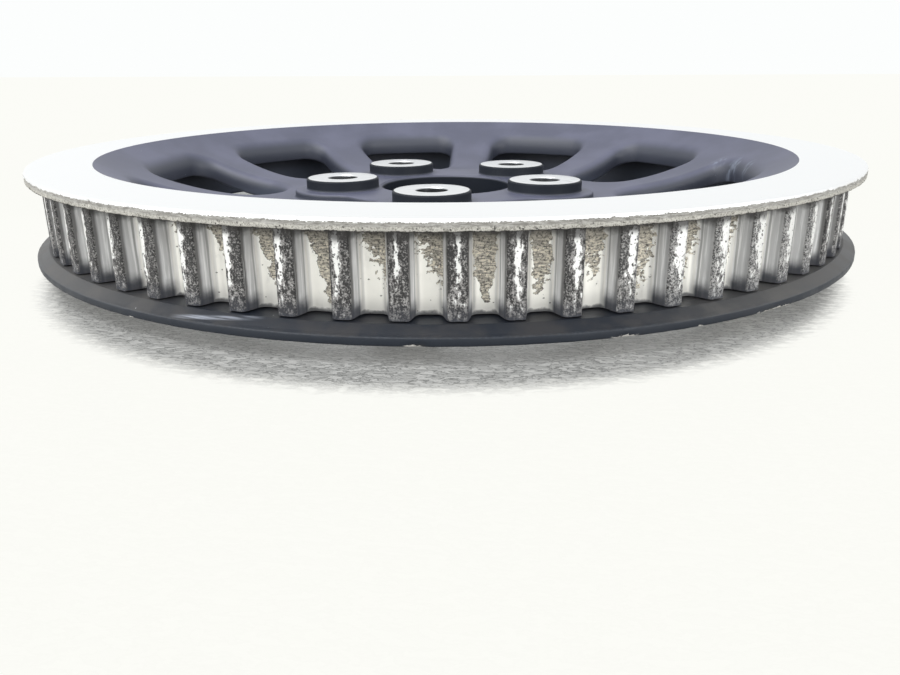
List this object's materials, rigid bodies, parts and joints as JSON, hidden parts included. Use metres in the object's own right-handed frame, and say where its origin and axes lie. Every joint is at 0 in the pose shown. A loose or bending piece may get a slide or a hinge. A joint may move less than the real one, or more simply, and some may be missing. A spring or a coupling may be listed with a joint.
{
  "type": "toothed belt pulley",
  "caption": "Large cast belt pulley: square-topped teeth between two flanges, a dished web with windows, a centre bore and a ring of raised bolt bosses.",
  "frame": {"origin": "on the wheel axis, in the plane of the hub's rear face", "axes": "+Z along the wheel axis, out through the machined outer face; -Y through one bolt hole"},
  "size_m": [0.3003, 0.3002, 0.0349],
  "materials": {
    "cast_aluminium": "bare and machined, worn and pitted on the teeth",
    "web_paint": "satin dark slate blue paint, scuffed",
    "black_ring": "satin black, chipped along its outer edge"
  },
  "bodies": {
    "root": {"pulley": "cast_aluminium", "flange_ring": "black_ring"}
  },
  "joints": []
}
